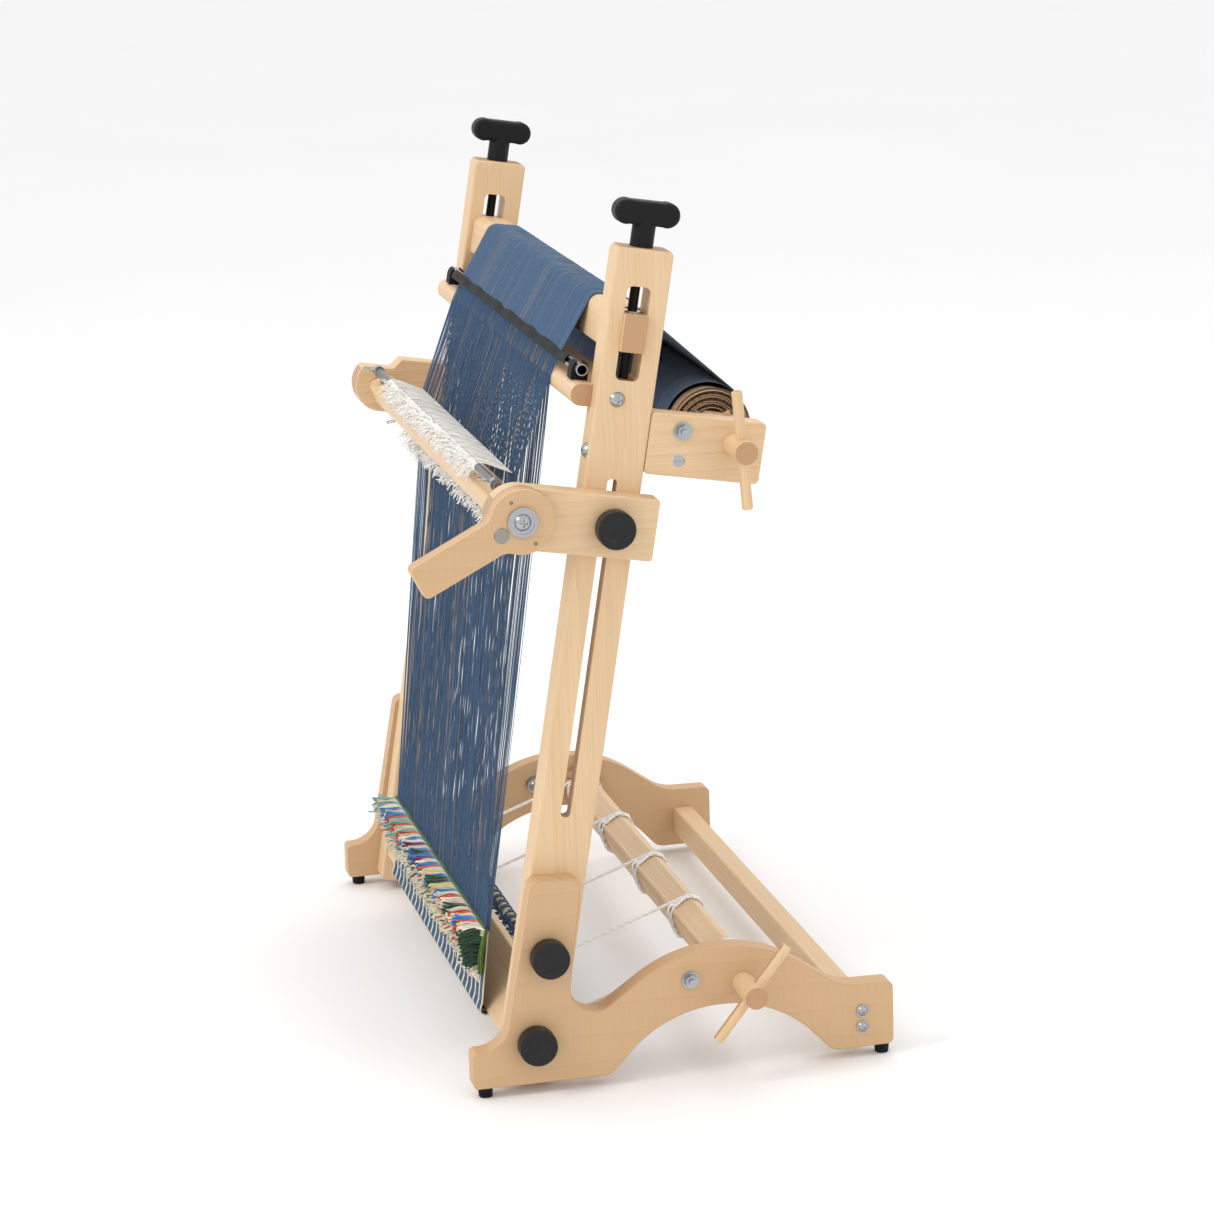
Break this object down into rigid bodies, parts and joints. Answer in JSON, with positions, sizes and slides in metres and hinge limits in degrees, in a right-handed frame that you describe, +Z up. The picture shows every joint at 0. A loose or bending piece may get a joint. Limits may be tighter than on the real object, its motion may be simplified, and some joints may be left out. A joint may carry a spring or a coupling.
{
  "type": "tapestry loom",
  "caption": "Table tapestry loom: tilting mast on a plywood stand, winding beams, screw-raised upper beam, sliding shed gear with lever, navy warp and a started weaving.",
  "frame": {"origin": "middle of the floor rectangle the whole loom covers, handles included, at floor level", "axes": "+Z up, +X to the weaver's right (the side of the handles), +Y to the back; the weaver faces +Y"},
  "size_m": [0.6915, 0.3996, 0.738],
  "materials": {
    "plywood": "satin oiled birch plywood",
    "maple": "satin oiled hardwood",
    "dowel": "satin hardwood dowel",
    "zinc": "bright zinc plate",
    "tube_steel": "brushed",
    "black_plastic": "moulded black, semi-gloss",
    "black_rubber": "matt",
    "cord": "braided cotton",
    "navy_yarn": "fine navy warp",
    "woven_band": "woven wool"
  },
  "bodies": {
    "base": {"side_plate_right": "plywood", "side_plate_left": "plywood", "rear_stretcher": "maple", "stretcher_screws": "zinc", "rubber_feet": "black_rubber", "cloth_pawl_bolts": "zinc", "apron_cords": "cord"},
    "mast": {"post_right": "maple", "post_left": "maple", "bracket_right": "maple", "bracket_left": "maple", "pan_head_bolts": "zinc", "barrel_nuts": "zinc", "front_rail": "maple", "lease_tube": "tube_steel", "tube_clips": "black_plastic", "warp_clamp": "black_rubber", "breast_board": "maple", "apron_rod": "dowel", "warp_pawl_bolts": "zinc", "warp_back_layer": "navy_yarn", "warp_front_layer": "navy_yarn", "tapestry": "woven_band"},
    "cloth_winder": {"cloth_beam": "maple", "cloth_beam_spindles": "dowel", "cloth_beam_handle": "dowel", "cloth_beam_rod": "dowel", "cloth_ratchets": "plywood", "cord_loops": "cord"},
    "warp_winder": {"warp_beam": "maple", "warp_beam_spindles": "dowel", "warp_beam_handle": "dowel", "warp_ratchets": "plywood", "warp_roll": "navy_yarn"},
    "tension_beam": {"upper_beam": "maple", "beam_nuts": "zinc", "warp_over_beam": "navy_yarn"},
    "shed_frame": {"shed_arm_right": "maple", "shed_arm_left": "maple", "thrust_disc": "zinc", "arm_nuts": "zinc"},
    "shed_turner": {"shed_bar": "maple", "shed_handle": "plywood", "handle_screw": "zinc", "detent_plunger": "zinc", "heddle_rods": "tube_steel", "rod_clips": "zinc", "leashes": "cord"},
    "cloth_pawl_right": {"cloth_pawl_right": "zinc"},
    "cloth_pawl_left": {"cloth_pawl_left": "zinc"},
    "warp_pawl_right": {"warp_pawl_right": "zinc"},
    "warp_pawl_left": {"warp_pawl_left": "zinc"},
    "tension_screw_right": {"tension_screw_right": "black_plastic"},
    "tension_screw_left": {"tension_screw_left": "black_plastic"},
    "pivot_knob_right": {"pivot_knob_right": "black_plastic"},
    "pivot_knob_left": {"pivot_knob_left": "black_plastic"},
    "tilt_knob_right": {"tilt_knob_right": "black_plastic"},
    "tilt_knob_left": {"tilt_knob_left": "black_plastic"},
    "arm_knob_right": {"arm_knob_right": "black_plastic"},
    "arm_knob_left": {"arm_knob_left": "black_plastic"}
  },
  "joints": [
    {"name": "mast_tilt", "type": "hinge", "parent": "base", "child": "mast", "pos_m": [-0.0122, -0.0967, 0.1197], "axis": [1, 0, 0], "range_deg": [-8, 10], "deforming": ["apron_cords"]},
    {"name": "cloth_beam_turn", "type": "hinge", "parent": "base", "child": "cloth_winder", "pos_m": [-0.0122, 0.0694, 0.0779], "axis": [1, 0, 0], "continuous": true},
    {"name": "warp_beam_turn", "type": "hinge", "parent": "mast", "child": "warp_winder", "pos_m": [-0.0122, 0.07804, 0.53253], "axis": [1, 0, 0], "continuous": true},
    {"name": "cloth_pawl_right_lift", "type": "hinge", "parent": "base", "child": "cloth_pawl_right", "pos_m": [0.2808, 0.024, 0.0852], "axis": [1, 0, 0], "range_deg": [0, 40]},
    {"name": "warp_pawl_right_lift", "type": "hinge", "parent": "mast", "child": "warp_pawl_right", "pos_m": [0.2608, 0.03546, 0.54674], "axis": [1, 0, 0], "range_deg": [0, 40]},
    {"name": "cloth_pawl_left_lift", "type": "hinge", "parent": "base", "child": "cloth_pawl_left", "pos_m": [-0.3052, 0.024, 0.0852], "axis": [1, 0, 0], "range_deg": [0, 40]},
    {"name": "warp_pawl_left_lift", "type": "hinge", "parent": "mast", "child": "warp_pawl_left", "pos_m": [-0.2852, 0.03546, 0.54674], "axis": [1, 0, 0], "range_deg": [0, 40]},
    {"name": "tension_screw_left_turn", "type": "hinge", "parent": "mast", "child": "tension_screw_left", "pos_m": [-0.2947, 0.00877, 0.69767], "axis": [0, 0.1736, 0.9848], "range_deg": [-4620, 4620]},
    {"name": "tension_screw_right_turn", "type": "hinge", "parent": "mast", "child": "tension_screw_right", "pos_m": [0.2703, 0.00877, 0.69767], "axis": [0, 0.1736, 0.9848], "range_deg": [-4620, 4620]},
    {"name": "upper_beam_lift", "type": "slide", "parent": "mast", "child": "tension_beam", "axis": [0, 0.1736, 0.9848], "range_m": [-0.016, 0.016], "deforming": ["warp_over_beam"]},
    {"name": "shed_frame_slide", "type": "slide", "parent": "mast", "child": "shed_frame", "axis": [0, 0.1736, 0.9848], "range_m": [-0.245, 0.03], "deforming": ["leashes", "warp_front_layer"]},
    {"name": "shed_bar_turn", "type": "hinge", "parent": "shed_frame", "child": "shed_turner", "pos_m": [-0.0122, -0.10744, 0.4907], "axis": [1, 0, 0], "range_deg": [-75, 10], "deforming": ["leashes", "warp_front_layer"]},
    {"name": "pivot_knob_right_turn", "type": "hinge", "parent": "mast", "child": "pivot_knob_right", "pos_m": [0.3128, -0.0967, 0.1197], "axis": [1, 0, 0], "range_deg": [-360, 360]},
    {"name": "tilt_knob_right_turn", "type": "hinge", "parent": "mast", "child": "tilt_knob_right", "pos_m": [0.3128, -0.10976, 0.04564], "axis": [1, 0, 0], "range_deg": [-360, 360]},
    {"name": "arm_knob_right_turn", "type": "hinge", "parent": "shed_frame", "child": "arm_knob_right", "pos_m": [0.3158, -0.03013, 0.47707], "axis": [1, 0, 0], "range_deg": [-360, 360]},
    {"name": "pivot_knob_left_turn", "type": "hinge", "parent": "mast", "child": "pivot_knob_left", "pos_m": [-0.3372, -0.0967, 0.1197], "axis": [1, 0, 0], "range_deg": [-360, 360]},
    {"name": "tilt_knob_left_turn", "type": "hinge", "parent": "mast", "child": "tilt_knob_left", "pos_m": [-0.3372, -0.10976, 0.04564], "axis": [1, 0, 0], "range_deg": [-360, 360]},
    {"name": "arm_knob_left_turn", "type": "hinge", "parent": "shed_frame", "child": "arm_knob_left", "pos_m": [-0.3402, -0.03013, 0.47707], "axis": [1, 0, 0], "range_deg": [-360, 360]}
  ],
  "couplings": [
    {"joint": "tension_screw_right_turn", "follows": "upper_beam_lift", "rad_per_m": -5026.5},
    {"joint": "tension_screw_left_turn", "follows": "upper_beam_lift", "rad_per_m": -5026.5}
  ]
}
